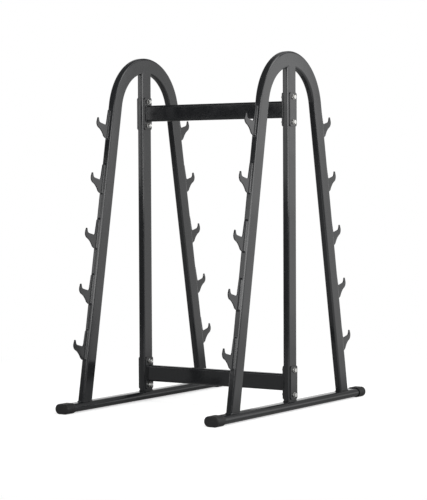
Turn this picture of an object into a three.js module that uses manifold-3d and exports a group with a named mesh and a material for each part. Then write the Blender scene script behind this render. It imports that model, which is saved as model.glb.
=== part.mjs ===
// Barbell storage rack
// Two bent side frames stand on flat oval base tubes and are bolted to two crossbeams.
// Open hooks run up every leg, so a bar lies across the two frames on a pair of them.
// Millimetres, +Z up, front towards -Y. The origin is on the floor at the middle of the rack.

import * as THREE from 'three';
import { mergeVertices } from 'three/addons/utils/BufferGeometryUtils.js';
import Module from 'manifold-3d';

const wasm = await Module();
wasm.setup();

// Gaps
const seatGap = 0.3;            // between pieces that are welded, bolted or pushed together
const boltClearance = 0.5;      // round a bolt in its hole
const cutOverrun = 30;          // how far a cutting shape runs past what it cuts

// Leg, arch and upright tube
const tubeWidth = 76;           // in the plane of the side frame
const tubeDepth = 35;           // across the side frame
const tubeWall = 2.5;
const tubeCorner = 11;

// Side frames
const frameSpacing = 842;       // between the middles of the two frames
const archRadius = 245.5;       // to the middle of the tube
const archCentreHeight = 1422;
const legTiltDegrees = 10.4;    // from upright

// Base tubes
const baseLength = 1350;
const baseWidth = 70;
const baseHeight = 40;
const baseWall = 2.5;
const ventRadius = 4;           // of the small hole in the top of each base tube
const ventPlace = 310;          // behind the middle of the rack

// Rubber boots on the ends of the base tubes
const bootLength = 62;
const bootWall = 4;
const bootEnd = 8;
const bootEdge = 5;             // rounding of the closed end

// Crossbeams
const beamHeight = 80;
const beamDepth = 40;
const beamWall = 2.5;
const beamCorner = 10;
const upperBeamDrop = 199;      // of the upper beam's middle below the inside of the arch
const lowerBeamLevel = 135;     // height of the lower beam's middle

// Plates on both sides of an upright at each beam end
const plateWidth = 60;
const plateHeight = 160;
const plateThickness = 6;
const plateCorner = 10;
const boltSpacing = 118;

// Bolts and nuts, each with its washer
const boltRadius = 6;
const boltTail = 5;             // thread left past the nut
const wrenchSize = 19;          // across the flats of heads and nuts
const headHeight = 7.5;
const nutHeight = 10;
const washerRadius = 12;
const washerThickness = 2.5;

// Hooks
const hookCount = 5;            // on each leg
const lowestTipHeight = 344;
const highestTipDrop = 18;      // of the highest hook's tip below the arch's centre
const hookThickness = 6;
const hookReach = 91;           // from the leg's face to the middle of the horn's tip
const hookRise = 37;            // of the plate above the tip
const hookDrop = 100;           // of the plate below the tip
const spineTopWidth = 16;
const spineWidth = 19;          // level with the tip
const cradleDepth = 36.5;       // where the lines of the spine and the floor meet
const cradleTiltDegrees = 14;   // the floor falls towards the leg
const cradleRadius = 11;
const hornInset = 7.5;          // of the horn's inner foot from the middle of its tip
const tipRadius = 4.4;
const heelBulge = 11;           // of the heel past the middle of the tip
const heelDepth = 26;
const heelRadius = 26.5;
const heelStartDegrees = 27;
const heelEndDegrees = -64;
const undersideEaseShare = 0.47;
const footWidth = 17;
const footLipWidth = 13;
const footLipHeight = 9;

// Facet counts
const cornerSegments = 2;
const ovalSegments = 3;
const hookSegments = 4;
const archSegments = 24;
const trimSegments = 24;
const roundSegments = 16;
const bootEdgeSegments = 2;

// Worked out from the sizes above
const legTilt = THREE.MathUtils.degToRad(legTiltDegrees);
const archHalfAngle = Math.PI / 2 - legTilt;
const baseBottom = bootWall + seatGap;
const baseMiddle = baseBottom + baseHeight / 2;
const baseTop = baseBottom + baseHeight;
const footLevel = baseTop + seatGap;
const platePlace = tubeDepth / 2 + seatGap + plateThickness / 2;
const fastenerSeat = tubeDepth / 2 + seatGap + plateThickness + seatGap;
const beamLength = frameSpacing - 2 * fastenerSeat;
const boltLength = 2 * fastenerSeat + washerThickness + nutHeight + boltTail;
const boltHoleRadius = boltRadius + boltClearance;
const nutHoleRadius = boltRadius + seatGap;
const uprightTop = archCentreHeight + archRadius - tubeWidth / 2;
const upperBeamLevel = uprightTop - upperBeamDrop;
const hookPitch = (archCentreHeight - highestTipDrop - lowestTipHeight) / (hookCount - 1);

// The two side frames, the two faces of a frame and the two beams
const sides = [{ name: 'left', sign: -1 }, { name: 'right', sign: 1 }];
const faces = [{ name: 'front', turn: Math.PI }, { name: 'back', turn: 0 }];
const levels = [{ name: 'lower', height: lowerBeamLevel }, { name: 'upper', height: upperBeamLevel }];

// Materials
function paintedSteel() {
  return new THREE.MeshStandardMaterial({ color: 0x3a3b3c, roughness: 0.42, metalness: 0.2 });
}

function zincPlatedSteel() {
  return new THREE.MeshStandardMaterial({ color: 0xc8cacc, roughness: 0.3, metalness: 1 });
}

function blackRubber() {
  return new THREE.MeshStandardMaterial({ color: 0x1d1d1e, roughness: 0.7, metalness: 0 });
}

// A closed geometry whose triangles share their corners
function closed(geometry) {
  const bare = geometry.clone();
  bare.deleteAttribute('normal');
  bare.deleteAttribute('uv');
  return mergeVertices(bare);
}

function toSolid(geometry) {
  const { attributes, index } = closed(geometry);
  const vertProperties = new Float32Array(attributes.position.array);
  const triVerts = new Uint32Array(index.array);
  return new wasm.Manifold(new wasm.Mesh({ numProp: 3, vertProperties, triVerts }));
}

function toGeometry(solid) {
  const { vertProperties, triVerts } = solid.getMesh();
  const geometry = new THREE.BufferGeometry();
  geometry.setAttribute('position', new THREE.BufferAttribute(new Float32Array(vertProperties), 3));
  geometry.setIndex(new THREE.BufferAttribute(new Uint32Array(triVerts), 1));
  return geometry;
}

// Box between two corners
function boxBetween(low, high) {
  const box = new THREE.Box3(new THREE.Vector3(...low), new THREE.Vector3(...high));
  const size = box.getSize(new THREE.Vector3());
  const centre = box.getCenter(new THREE.Vector3());
  return new THREE.BoxGeometry(size.x, size.y, size.z).translate(centre.x, centre.y, centre.z);
}

// Outlines with rounded corners, centred on zero; a corner of half the height gives a flat oval
function roundedOutline(width, height, corner, Outline = THREE.Shape) {
  const right = width / 2 - corner;
  const top = height / 2 - corner;
  const outline = new Outline();
  outline.absarc(right, top, corner, 0, Math.PI / 2);
  outline.absarc(-right, top, corner, Math.PI / 2, Math.PI);
  outline.absarc(-right, -top, corner, Math.PI, 1.5 * Math.PI);
  outline.absarc(right, -top, corner, 1.5 * Math.PI, 2 * Math.PI);
  outline.closePath();
  return outline;
}

function tubeOutline(width, height, corner, wall) {
  const outline = roundedOutline(width, height, corner);
  outline.holes.push(roundedOutline(width - 2 * wall, height - 2 * wall, corner - wall, THREE.Path));
  return outline;
}

function extruded(outline, depth, segments) {
  return new THREE.ExtrudeGeometry(outline, { depth, bevelEnabled: false, curveSegments: segments });
}

// An outline drawn in the plane of a side frame (Y across, Z up) and given a thickness along X
function alongX(outline, length, segments) {
  const axes = new THREE.Matrix4().makeBasis(
    new THREE.Vector3(0, 1, 0), new THREE.Vector3(0, 0, 1), new THREE.Vector3(1, 0, 0));
  return extruded(outline, length, segments).translate(0, 0, -length / 2).applyMatrix4(axes);
}

// An outline drawn facing the front (X across, Z up) and given a length along Y
function alongY(outline, length, segments) {
  return extruded(outline, length, segments).translate(0, 0, -length / 2).rotateX(Math.PI / 2);
}

// A round or six-sided bar along +Z from z = 0
function barAlongZ(radius, length, sideCount) {
  return new THREE.CylinderGeometry(radius, radius, length, sideCount)
    .rotateX(Math.PI / 2)
    .translate(0, 0, length / 2);
}

// The middle line of a bent frame: up one leg, over the arch and down the other leg.
// Its first and last stretch are the straight legs, and the arch has equal steps between them.
class FramePath extends THREE.Curve {
  getPoint(t, target = new THREE.Vector3()) {
    const station = t * (archSegments + 2) - 1;
    const step = THREE.MathUtils.clamp(station, 0, archSegments);
    const angle = THREE.MathUtils.lerp(-archHalfAngle, archHalfAngle, step / archSegments);
    const legEnd = archCentreHeight + archRadius * Math.cos(archHalfAngle);
    const legLength = (legEnd - baseBottom) / Math.cos(legTilt);
    const down = legLength * Math.abs(station - step);
    return target.set(
      0,
      archRadius * Math.sin(angle) + Math.sign(angle) * down * Math.sin(legTilt),
      archCentreHeight + archRadius * Math.cos(angle) - down * Math.cos(legTilt));
  }

  getUtoTmapping(u) {
    return u;
  }
}

// Distance of a leg's outer face from the middle of the rack at a height
function legFaceAt(height) {
  const archOuterRadius = archRadius + tubeWidth / 2;
  return archOuterRadius / Math.cos(legTilt) + (archCentreHeight - height) * Math.tan(legTilt);
}

// Both legs and the arch, one bent tube cut level to stand on the base tube
function archTube() {
  const outline = tubeOutline(tubeDepth, tubeWidth, tubeCorner, tubeWall);
  const bent = new THREE.ExtrudeGeometry(outline, {
    steps: archSegments + 2, extrudePath: new FramePath(), curveSegments: cornerSegments });
  const reach = legFaceAt(0) + cutOverrun;
  const below = boxBetween([-tubeDepth, -reach, -cutOverrun], [tubeDepth, reach, footLevel]);
  return toGeometry(toSolid(bent).subtract(toSolid(below)));
}

// The space inside an arch, which shapes the top of the upright
function spaceInsideArch() {
  const radius = archRadius - tubeWidth / 2 - seatGap;
  const outline = new THREE.Shape();
  outline.moveTo(-radius, 0);
  outline.lineTo(radius, 0);
  outline.absarc(0, archCentreHeight, radius, 0, Math.PI);
  outline.closePath();
  return alongX(outline, tubeDepth + cutOverrun, trimSegments);
}

function boltHole() {
  const length = tubeDepth + 2 * cutOverrun;
  return barAlongZ(boltHoleRadius, length, roundSegments).translate(0, 0, -length / 2).rotateY(Math.PI / 2);
}

// Heights of the two bolts of a beam end
function boltHeights(level) {
  return [level - boltSpacing / 2, level + boltSpacing / 2];
}

function upright() {
  const length = uprightTop - footLevel;
  const outline = tubeOutline(tubeDepth, tubeWidth, tubeCorner, tubeWall);
  const tube = extruded(outline, length, cornerSegments).translate(0, 0, footLevel);
  let solid = toSolid(tube).intersect(toSolid(spaceInsideArch()));
  for (const level of levels) {
    for (const height of boltHeights(level.height)) {
      solid = solid.subtract(toSolid(boltHole().translate(0, 0, height)));
    }
  }
  return toGeometry(solid);
}

function baseTube() {
  const outline = tubeOutline(baseWidth, baseHeight, baseHeight / 2, baseWall);
  const tube = alongY(outline, baseLength, ovalSegments);
  const vent = barAlongZ(ventRadius, baseHeight, roundSegments).translate(0, ventPlace, 0);
  return toGeometry(toSolid(tube).subtract(toSolid(vent)));
}

// Boot with its closed end's face at y = 0 and its mouth towards -Y
function boot() {
  const width = baseWidth + 2 * (seatGap + bootWall);
  const height = baseHeight + 2 * (seatGap + bootWall);
  const rounded = new THREE.ExtrudeGeometry(roundedOutline(width, height, height / 2), {
    depth: bootLength,
    curveSegments: ovalSegments,
    bevelThickness: bootEdge,
    bevelSize: bootEdge,
    bevelOffset: -bootEdge,
    bevelSegments: bootEdgeSegments,
  }).translate(0, 0, bootEdge).rotateX(Math.PI / 2);
  const pocketWidth = baseWidth + 2 * seatGap;
  const pocketHeight = baseHeight + 2 * seatGap;
  const pocketOutline = roundedOutline(pocketWidth, pocketHeight, pocketHeight / 2);
  const pocketDepth = bootLength + cutOverrun;
  const pocket = alongY(pocketOutline, pocketDepth, ovalSegments).translate(0, -bootEnd - pocketDepth / 2, 0);
  const pastMouth = boxBetween([-width, -bootLength - cutOverrun, -height], [width, -bootLength, height]);
  return toGeometry(toSolid(rounded).subtract(toSolid(pocket)).subtract(toSolid(pastMouth)));
}

function crossbeam() {
  const outline = tubeOutline(beamDepth, beamHeight, beamCorner, beamWall);
  return closed(alongX(outline, beamLength, cornerSegments));
}

// Plate with its two bolt holes, centred on zero
function plate() {
  const outline = roundedOutline(plateWidth, plateHeight, plateCorner);
  let solid = toSolid(alongX(outline, plateThickness, cornerSegments));
  for (const height of boltHeights(0)) {
    solid = solid.subtract(toSolid(boltHole().translate(0, 0, height)));
  }
  return toGeometry(solid);
}

function hexagon(height) {
  return barAlongZ(wrenchSize / Math.sqrt(3), height, 6).translate(0, 0, washerThickness);
}

// Bolt that points towards -X, with the washer's seat at x = 0
function bolt() {
  const shank = barAlongZ(boltRadius, boltLength + washerThickness, roundSegments).translate(0, 0, -boltLength);
  const washer = barAlongZ(washerRadius, washerThickness, roundSegments);
  const solid = toSolid(washer).add(toSolid(shank)).add(toSolid(hexagon(headHeight)));
  return toGeometry(solid).rotateY(Math.PI / 2);
}

// Nut on its washer, which sits at x = 0 and faces +X
function nut() {
  const washer = barAlongZ(washerRadius, washerThickness, roundSegments);
  const holeLength = washerThickness + nutHeight + 2 * cutOverrun;
  const hole = barAlongZ(nutHoleRadius, holeLength, roundSegments).translate(0, 0, -cutOverrun);
  const solid = toSolid(washer).add(toSolid(hexagon(nutHeight))).subtract(toSolid(hole));
  return toGeometry(solid).rotateY(-Math.PI / 2);
}

// Line to a corner that is rounded off on the way to the next point
function roundedCorner(outline, from, corner, to, radius) {
  const start = corner.clone().add(from.clone().sub(corner).setLength(radius));
  const end = corner.clone().add(to.clone().sub(corner).setLength(radius));
  outline.lineTo(start.x, start.y);
  outline.quadraticCurveTo(corner.x, corner.y, end.x, end.y);
}

// Hook in the plane of its frame: x runs out from the leg's face and y = 0 is level with the tip
function hook() {
  const rootAt = (up) => seatGap / Math.cos(legTilt) - up * Math.tan(legTilt);
  const spineTop = new THREE.Vector2(rootAt(hookRise) + spineTopWidth, hookRise);
  const spineSlope = (spineWidth - spineTop.x) / hookRise;
  const cradleInner = new THREE.Vector2(spineWidth + cradleDepth * spineSlope, -cradleDepth);
  const floorRun = hookReach - hornInset - cradleInner.x;
  const floorRise = floorRun * Math.tan(THREE.MathUtils.degToRad(cradleTiltDegrees));
  const cradleOuter = new THREE.Vector2(hookReach - hornInset, floorRise - cradleDepth);
  const tipInner = new THREE.Vector2(hookReach - tipRadius, -tipRadius);
  const heelCentre = new THREE.Vector2(hookReach + heelBulge - heelRadius, -heelDepth);
  const heelStart = THREE.MathUtils.degToRad(heelStartDegrees);
  const heelEnd = THREE.MathUtils.degToRad(heelEndDegrees);
  const foot = new THREE.Vector2(rootAt(-hookDrop) + footWidth, -hookDrop);
  const lip = new THREE.Vector2(foot.x + footLipWidth, foot.y + footLipHeight);
  const undersideStart = new THREE.Vector2(heelRadius, 0)
    .rotateAround(new THREE.Vector2(), heelEnd)
    .add(heelCentre);
  const easeLength = undersideStart.distanceTo(lip) * undersideEaseShare;
  const ease = new THREE.Vector2(0, -easeLength)
    .rotateAround(new THREE.Vector2(), heelEnd)
    .add(undersideStart);

  const outline = new THREE.Shape();
  outline.moveTo(rootAt(hookRise), hookRise);
  outline.lineTo(spineTop.x, spineTop.y);
  roundedCorner(outline, spineTop, cradleInner, cradleOuter, cradleRadius);
  roundedCorner(outline, cradleInner, cradleOuter, tipInner, cradleRadius);
  outline.lineTo(tipInner.x, tipInner.y);
  outline.absarc(hookReach, -tipRadius, tipRadius, Math.PI, 0, true);
  outline.absarc(heelCentre.x, heelCentre.y, heelRadius, heelStart, heelEnd, true);
  outline.quadraticCurveTo(ease.x, ease.y, lip.x, lip.y);
  outline.lineTo(foot.x, foot.y);
  outline.lineTo(rootAt(-hookDrop), -hookDrop);
  outline.closePath();
  return closed(alongX(outline, hookThickness, hookSegments));
}

function piece(name, geometry, material, x = 0, y = 0, z = 0) {
  const mesh = new THREE.Mesh(geometry, material);
  mesh.name = name;
  mesh.position.set(x, y, z);
  return mesh;
}

// Hooks and boot of one face of a side frame, laid out for the back and turned for the front
function frameFace(side, face) {
  const group = new THREE.Group();
  group.rotation.z = face.turn;
  const place = `${side.name}_${face.name}`;
  const bootFace = baseLength / 2 + seatGap + bootEnd;
  group.add(piece(`${place}_boot`, boot(), blackRubber(), 0, bootFace, baseMiddle));
  for (let count = 0; count < hookCount; count += 1) {
    const height = lowestTipHeight + count * hookPitch;
    const name = `${place}_hook_${count + 1}`;
    group.add(piece(name, hook(), paintedSteel(), 0, legFaceAt(height), height));
  }
  return group;
}

// Plates, bolts and nuts of one beam end, laid out with +X away from the rack
function beamEnd(side, level) {
  const group = new THREE.Group();
  group.position.z = level.height;
  group.rotation.z = side.sign < 0 ? Math.PI : 0;
  const place = `${side.name}_${level.name}`;
  group.add(piece(`${place}_flange_plate`, plate(), paintedSteel(), -platePlace));
  group.add(piece(`${place}_backing_plate`, plate(), paintedSteel(), platePlace));
  boltHeights(0).forEach((height, index) => {
    const number = index + 1;
    group.add(piece(`${place}_bolt_${number}`, bolt(), zincPlatedSteel(), fastenerSeat, 0, height));
    group.add(piece(`${place}_nut_${number}`, nut(), zincPlatedSteel(), -fastenerSeat, 0, height));
  });
  return group;
}

function sideFrame(side) {
  const group = new THREE.Group();
  group.position.x = side.sign * frameSpacing / 2;
  group.add(piece(`${side.name}_base_tube`, baseTube(), paintedSteel(), 0, 0, baseMiddle));
  group.add(piece(`${side.name}_arch_tube`, archTube(), paintedSteel()));
  group.add(piece(`${side.name}_upright`, upright(), paintedSteel()));
  for (const face of faces) {
    group.add(frameFace(side, face));
  }
  for (const level of levels) {
    group.add(beamEnd(side, level));
  }
  return group;
}

const rack = new THREE.Group();
for (const side of sides) {
  rack.add(sideFrame(side));
}
for (const level of levels) {
  rack.add(piece(`${level.name}_crossbeam`, crossbeam(), paintedSteel(), 0, 0, level.height));
}

export default rack;
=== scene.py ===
# %% [markdown]
# # A steel rack for loaded barbells
#
# The rack has two arched side frames on flat oval floor tubes, two crossbeams bolted between them, and
# five open hooks up the outside of every leg. This lesson dresses its measured solids for a picture: every
# solid is replaced by a finer piece with soft corners, welds, threads and a finish.
#
# The measured solids come first. They stay where they are, because the finer pieces must fill the same space.

import math

import bmesh
import bpy
from mathutils import Matrix, Vector


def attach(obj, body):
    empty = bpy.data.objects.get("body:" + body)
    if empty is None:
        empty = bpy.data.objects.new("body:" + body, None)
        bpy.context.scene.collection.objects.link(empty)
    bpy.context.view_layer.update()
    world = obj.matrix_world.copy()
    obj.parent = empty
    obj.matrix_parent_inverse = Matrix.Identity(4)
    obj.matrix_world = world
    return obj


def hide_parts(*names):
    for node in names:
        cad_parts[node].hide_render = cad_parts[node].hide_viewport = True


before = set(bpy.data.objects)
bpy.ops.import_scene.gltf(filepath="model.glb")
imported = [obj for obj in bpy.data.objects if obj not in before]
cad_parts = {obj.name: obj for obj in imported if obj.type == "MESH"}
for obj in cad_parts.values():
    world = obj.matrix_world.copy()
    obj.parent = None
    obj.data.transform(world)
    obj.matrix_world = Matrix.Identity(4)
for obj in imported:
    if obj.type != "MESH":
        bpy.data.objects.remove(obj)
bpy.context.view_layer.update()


# %% [markdown]
# ## Sizes
#
# A workshop drawing is in millimetres and Blender is in metres, so one function turns one into the other.
# The sizes below are the rack's own. A side is -1 for the left frame and 1 for the right one, and a face is
# -1 for the front of a frame and 1 for the back.

# %% Name the rack's sizes
def mm(value):
    """A length in millimetres as Blender's metres."""
    return value / 1000


SIDES = {"left": -1, "right": 1}
FACES = {"front": -1, "back": 1}
LEGS = {f"{side}_{face}": (SIDES[side], FACES[face]) for side in SIDES for face in FACES}
BEAM_LEVELS = {"lower": mm(135), "upper": mm(1430.5)}

FRAME_SPACING = mm(842)
TUBE_WIDTH = mm(76)
TUBE_DEPTH = mm(35)
TUBE_CORNER = mm(11)
WALL = mm(2.5)
SEAT_GAP = mm(0.3)

ARCH_RADIUS = mm(245.5)
ARCH_CENTRE = mm(1422)
LEG_TILT = math.radians(10.4)

BASE_LENGTH = mm(1350)
BASE_WIDTH = mm(70)
BASE_HEIGHT = mm(40)
BASE_MIDDLE = mm(24.3)
BASE_TOP = BASE_MIDDLE + BASE_HEIGHT / 2
FOOT_LEVEL = BASE_TOP + SEAT_GAP


def leg_face(height):
    """How far a leg's outer face is from the middle of the rack at a height."""
    outer_radius = ARCH_RADIUS + TUBE_WIDTH / 2
    return outer_radius / math.cos(LEG_TILT) + (ARCH_CENTRE - height) * math.tan(LEG_TILT)


print("leg faces at the floor are", round(2 * leg_face(0), 4), "m apart")


# %% [markdown]
# ## Building node trees in a script
#
# Finishes and shapes below are both made of nodes. One small function adds a node, sets its sockets and
# links it to the nodes before it, which keeps each tree readable from top to bottom.
#
# Colours are written as a painter would note them, in sRGB hex. Shaders work with linear light, so one
# function converts them. Pattern scales are worked out from real sizes in the same way.

# %% Helpers for nodes, colours and pattern scales
def add_node(tree, kind, inputs=None, **settings):
    """Adds a node. inputs maps a socket's name or number to a value, or to the output that feeds it."""
    node = tree.nodes.new(kind)
    for name, value in settings.items():
        setattr(node, name, value)
    for socket, value in (inputs or {}).items():
        if isinstance(value, bpy.types.NodeSocket):
            tree.links.new(value, node.inputs[socket])
        else:
            node.inputs[socket].default_value = value
    return node


def colour(hex_code):
    """An sRGB hex colour as linear red, green, blue and alpha."""
    channels = [int(hex_code[place:place + 2], 16) / 255 for place in (1, 3, 5)]
    linear = [c / 12.92 if c <= 0.04045 else ((c + 0.055) / 1.055) ** 2.4 for c in channels]
    return (*linear, 1.0)


def features_of(size):
    """Texture scale that makes a pattern's features this size in metres."""
    return 1 / size


def start_material(name):
    """An empty material, with the object's own coordinates to hang patterns on."""
    material = bpy.data.materials.new(name)
    material.use_nodes = True
    material.node_tree.nodes.clear()
    place = add_node(material.node_tree, "ShaderNodeTexCoord").outputs["Object"]
    return material, material.node_tree, place


print("a painter's #808080 is", round(colour("#808080")[0], 3), "in linear light")


# %% [markdown]
# ## Gloss black powder coat
#
# All the steel of the frames is powder coated: dry paint is sprayed on and melted in an oven. The film
# flows as it melts, so it dries to a glossy skin. The colour itself is nearly black, and every grey on the
# tubes is a reflection of the studio. What tells it from plastic is a shallow orange peel, and that the
# film pulls thin over sharp edges, where it looks a shade lighter.
#
# Real orange peel is 2 to 3 mm wide. That is finer than a pixel of the whole rack, so a second, broader
# waviness of 14 mm is laid under it, which shows in the highlights from a distance.

# %% Powder coat
FILM_PATCHES = mm(120)
GLOSS_PATCHES = mm(45)
THIN_EDGE = mm(1.1)
WAVES = mm(14)
WAVE_HEIGHT = mm(0.10)
ORANGE_PEEL = mm(2.6)
PEEL_HEIGHT = mm(0.035)


def powder_coat():
    """Black polyester powder coat, glossy, oven-melted: clear reflections, fine orange peel."""
    material, tree, place = start_material("gloss_black_powder_coat")
    film = add_node(tree, "ShaderNodeTexNoise", {
        "Vector": place, "Scale": features_of(FILM_PATCHES), "Detail": 3.0})
    shade = add_node(tree, "ShaderNodeMix", {
        "Factor": film.outputs["Fac"], "A": colour("#1a1b1c"), "B": colour("#212224"),
    }, data_type="RGBA")
    rounded = add_node(tree, "ShaderNodeBevel", {"Radius": THIN_EDGE}, samples=4)
    flat = add_node(tree, "ShaderNodeNewGeometry").outputs["Normal"]
    alike = add_node(tree, "ShaderNodeVectorMath", {0: rounded.outputs["Normal"], 1: flat},
                     operation="DOT_PRODUCT")
    edge = add_node(tree, "ShaderNodeMapRange", {
        "Value": alike.outputs["Value"], "From Min": 0.99, "From Max": 0.82, "To Min": 0.0, "To Max": 0.55})
    thinned = add_node(tree, "ShaderNodeMix", {
        "Factor": edge.outputs["Result"], "A": shade.outputs["Result"], "B": colour("#3b3c3e"),
    }, data_type="RGBA")
    patches = add_node(tree, "ShaderNodeTexNoise", {
        "Vector": place, "Scale": features_of(GLOSS_PATCHES), "Detail": 4.0})
    gloss = add_node(tree, "ShaderNodeMapRange", {
        "Value": patches.outputs["Fac"], "From Min": 0.3, "From Max": 0.7, "To Min": 0.09, "To Max": 0.15})
    waves = add_node(tree, "ShaderNodeTexNoise", {
        "Vector": place, "Scale": features_of(WAVES), "Detail": 1.0})
    peel = add_node(tree, "ShaderNodeTexNoise", {
        "Vector": place, "Scale": features_of(ORANGE_PEEL), "Detail": 1.0})
    broad = add_node(tree, "ShaderNodeBump", {
        "Height": waves.outputs["Fac"], "Strength": 0.35, "Distance": WAVE_HEIGHT})
    fine = add_node(tree, "ShaderNodeBump", {
        "Height": peel.outputs["Fac"], "Strength": 0.2, "Distance": PEEL_HEIGHT,
        "Normal": broad.outputs["Normal"]})
    paint = add_node(tree, "ShaderNodeBsdfPrincipled", {
        "Base Color": thinned.outputs["Result"], "Roughness": gloss.outputs["Result"],
        "IOR": 1.5, "Metallic": 0.0, "Normal": fine.outputs["Normal"]})
    add_node(tree, "ShaderNodeOutputMaterial", {"Surface": paint.outputs["BSDF"]})
    return material


POWDER_COAT = powder_coat()
print("made", POWDER_COAT.name, "with", len(POWDER_COAT.node_tree.nodes), "nodes")


# %% [markdown]
# ## Bright zinc plate
#
# The bolts, nuts and washers are zinc plated and clear passivated. The plating is a thin crystalline film,
# so it is a true metal with a slightly cloudy shine, a little bluer in some places and yellower in others.
# The real crystals are too fine to see. Here they are 0.8 mm, so that they blur the shine close up.

# %% Zinc plate
TINT_PATCHES = mm(9)
CLOUDS = mm(2.5)
CRYSTALS = mm(0.8)
CRYSTAL_HEIGHT = mm(0.02)


def zinc_plate():
    """Electroplated zinc, clear passivated: cloudy metal shine with a faint two-tone tint."""
    material, tree, place = start_material("clear_passivated_zinc_plate")
    tint = add_node(tree, "ShaderNodeTexNoise", {
        "Vector": place, "Scale": features_of(TINT_PATCHES), "Detail": 2.0})
    metal = add_node(tree, "ShaderNodeMix", {
        "Factor": tint.outputs["Fac"], "A": colour("#cfd3d8"), "B": colour("#d3cfc4"),
    }, data_type="RGBA")
    cloud = add_node(tree, "ShaderNodeTexNoise", {
        "Vector": place, "Scale": features_of(CLOUDS), "Detail": 3.0})
    shine = add_node(tree, "ShaderNodeMapRange", {
        "Value": cloud.outputs["Fac"], "From Min": 0.3, "From Max": 0.7, "To Min": 0.22, "To Max": 0.4})
    crystals = add_node(tree, "ShaderNodeTexVoronoi", {"Vector": place, "Scale": features_of(CRYSTALS)})
    grain = add_node(tree, "ShaderNodeBump", {
        "Height": crystals.outputs["Distance"], "Strength": 0.25, "Distance": CRYSTAL_HEIGHT})
    plate = add_node(tree, "ShaderNodeBsdfPrincipled", {
        "Base Color": metal.outputs["Result"], "Roughness": shine.outputs["Result"],
        "Metallic": 1.0, "Normal": grain.outputs["Normal"]})
    add_node(tree, "ShaderNodeOutputMaterial", {"Surface": plate.outputs["BSDF"]})
    return material


ZINC = zinc_plate()
print("made", ZINC.name, "with", len(ZINC.node_tree.nodes), "nodes")


# %% [markdown]
# ## Moulded black rubber
#
# The boots are moulded rubber. Its surface copies the sandblasted mould, so it is matt with a fine grain,
# and dust settles on whatever faces up. The dust follows the surface's own direction, so it stays where it
# is from every side. The grain is drawn at 1.2 mm, a few times coarser than the real one, to show at all.

# %% Rubber
BATCH_PATCHES = mm(30)
DUST_SPECKS = mm(6)
MOULD_GRAIN = mm(1.2)
GRAIN_HEIGHT = mm(0.08)


def rubber():
    """Black moulded rubber: matt, fine mould grain, a little dust on its upper side."""
    material, tree, place = start_material("moulded_black_rubber")
    batch = add_node(tree, "ShaderNodeTexNoise", {
        "Vector": place, "Scale": features_of(BATCH_PATCHES), "Detail": 3.0})
    black = add_node(tree, "ShaderNodeMix", {
        "Factor": batch.outputs["Fac"], "A": colour("#111112"), "B": colour("#19191a"),
    }, data_type="RGBA")
    facing = add_node(tree, "ShaderNodeSeparateXYZ", {
        "Vector": add_node(tree, "ShaderNodeNewGeometry").outputs["Normal"]})
    upward = add_node(tree, "ShaderNodeMapRange", {
        "Value": facing.outputs["Z"], "From Min": 0.5, "From Max": 1.0, "To Min": 0.0, "To Max": 0.15})
    specks = add_node(tree, "ShaderNodeTexNoise", {
        "Vector": place, "Scale": features_of(DUST_SPECKS), "Detail": 5.0})
    dust = add_node(tree, "ShaderNodeMath", {0: upward.outputs["Result"], 1: specks.outputs["Fac"]},
                    operation="MULTIPLY")
    dusty = add_node(tree, "ShaderNodeMix", {
        "Factor": dust.outputs["Value"], "A": black.outputs["Result"], "B": colour("#5a5854"),
    }, data_type="RGBA")
    dull = add_node(tree, "ShaderNodeMapRange", {
        "Value": specks.outputs["Fac"], "From Min": 0.3, "From Max": 0.7, "To Min": 0.5, "To Max": 0.68})
    mould = add_node(tree, "ShaderNodeTexVoronoi", {"Vector": place, "Scale": features_of(MOULD_GRAIN)})
    grain = add_node(tree, "ShaderNodeBump", {
        "Height": mould.outputs["Distance"], "Strength": 0.5, "Distance": GRAIN_HEIGHT})
    skin = add_node(tree, "ShaderNodeBsdfPrincipled", {
        "Base Color": dusty.outputs["Result"], "Roughness": dull.outputs["Result"],
        "IOR": 1.52, "Normal": grain.outputs["Normal"]})
    add_node(tree, "ShaderNodeOutputMaterial", {"Surface": skin.outputs["BSDF"]})
    return material


RUBBER = rubber()
print("made", RUBBER.name, "with", len(RUBBER.node_tree.nodes), "nodes")


# %% [markdown]
# ## Growing a piece from a path
#
# Legs, posts, floor tubes and beams are all one kind of thing: a rectangular tube with round corners,
# drawn along a line. They could be modelled one by one, but a Geometry Nodes tree does it once, and each
# tube only brings its own path and sizes. The tree rounds the path's corners into bends, sweeps an outer
# and an inner section along it, and turns the inner skin to face the hollow.
#
# A tree needs an object to work on. Here that is a bare row of points joined by edges. Its result is taken
# as a plain mesh, and the row of points is thrown away.

# %% Helpers that start a tree and grow a mesh with it
def start_tree(name, **sockets):
    """A geometry tree with named inputs; returns it and its inputs' outputs."""
    tree = bpy.data.node_groups.new(name, "GeometryNodeTree")
    tree.interface.new_socket("Geometry", in_out="INPUT", socket_type="NodeSocketGeometry")
    for label, kind in sockets.items():
        tree.interface.new_socket(label, in_out="INPUT", socket_type="NodeSocket" + kind)
    tree.interface.new_socket("Geometry", in_out="OUTPUT", socket_type="NodeSocketGeometry")
    return tree, add_node(tree, "NodeGroupInput").outputs


def end_tree(tree, geometry, material):
    """Realizes what a tree made, gives it its material and hands it out."""
    real = add_node(tree, "GeometryNodeRealizeInstances", {"Geometry": geometry})
    painted = add_node(tree, "GeometryNodeSetMaterial", {"Geometry": real.outputs[0], "Material": material})
    add_node(tree, "NodeGroupOutput", {"Geometry": painted.outputs[0]})


def new_object(name, mesh):
    """An object with this mesh or curve, in the scene."""
    piece = bpy.data.objects.new(name, mesh)
    bpy.context.scene.collection.objects.link(piece)
    return piece


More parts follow.
